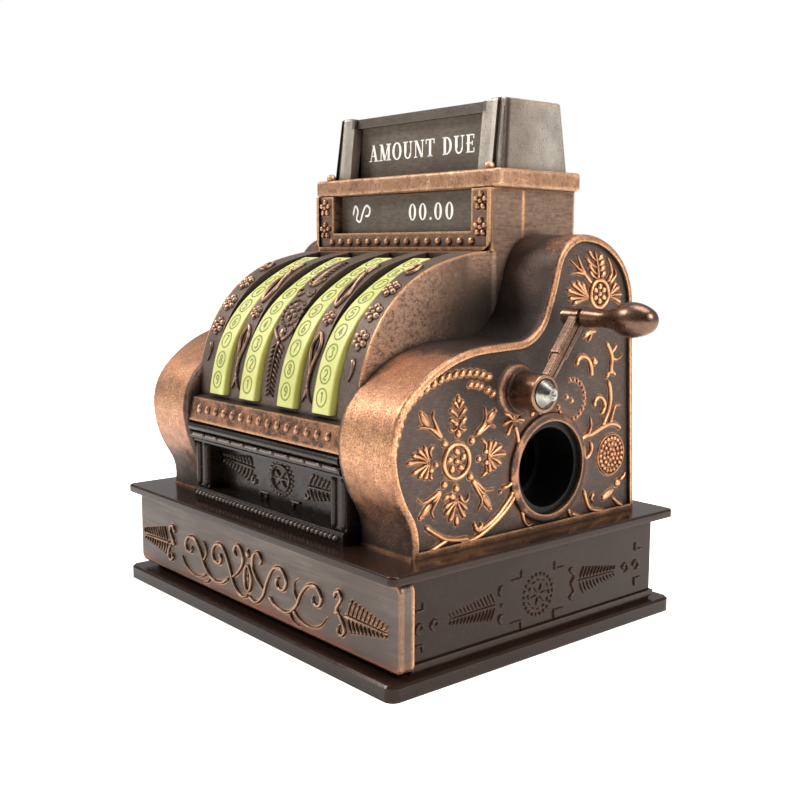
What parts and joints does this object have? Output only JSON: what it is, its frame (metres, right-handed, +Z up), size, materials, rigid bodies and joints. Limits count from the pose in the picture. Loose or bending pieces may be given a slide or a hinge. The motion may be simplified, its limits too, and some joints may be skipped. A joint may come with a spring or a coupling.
{
  "type": "miniature cash register",
  "caption": "Die-cast miniature cash register with scrolled side cheeks, curved key drum, sign, turning side crank, sliding drawer and a pencil sharpener in its side.",
  "frame": {"origin": "centre of the base plate's underside", "axes": "+X to the right across the front (the crank side), +Y to the back, +Z up"},
  "size_m": [0.0684, 0.047, 0.0641],
  "materials": {
    "antique_copper": "antique copper plate on a zinc casting, bright on raised edges and dark in the recesses",
    "gunmetal": "olive brown antique casting, pitted",
    "dark_bronze": "satin dark bronze",
    "steel": "plain bright steel",
    "brown_plastic": "satin dark brown moulded plastic",
    "black_gloss": "glossy black brown moulded plastic",
    "black_plastic": "black moulded plastic",
    "key_plastic": "pale yellow green moulded plastic",
    "card": "dark printed card"
  },
  "bodies": {
    "root": {"bottom_plate": "brown_plastic", "bottom_plate_screws": "steel", "base_box": "brown_plastic", "deck_screws": "steel", "housing_shell": "antique_copper", "rear_cover": "antique_copper", "rear_cover_screws": "steel", "front_panel": "black_gloss", "key_strip_insert": "key_plastic", "tower_cornice": "antique_copper", "sign_topper": "gunmetal", "topper_screws": "steel", "sign_card": "card", "amount_card": "card", "sharpener_sleeve": "black_plastic", "sharpener_body": "black_plastic", "sharpener_blade": "steel", "blade_screw": "steel", "crank_rivet": "steel", "crank_washer": "steel"},
    "drawer": {"drawer_front": "antique_copper", "drawer_tray": "brown_plastic", "drawer_screws": "steel"},
    "crank": {"crank_arm": "dark_bronze", "grip_pin": "steel"},
    "grip": {"grip_handle": "dark_bronze"}
  },
  "joints": [
    {"name": "drawer_slide", "type": "slide", "parent": "root", "child": "drawer", "axis": [0, -1, 0], "range_m": [0, 0.03]},
    {"name": "crank_spin", "type": "hinge", "parent": "root", "child": "crank", "pos_m": [0.028, -0.00208, 0.03022], "axis": [1, 0, 0], "continuous": true},
    {"name": "grip_spin", "type": "hinge", "parent": "crank", "child": "grip", "pos_m": [0.033, 0.00425, 0.03842], "axis": [1, 0, 0], "continuous": true}
  ]
}
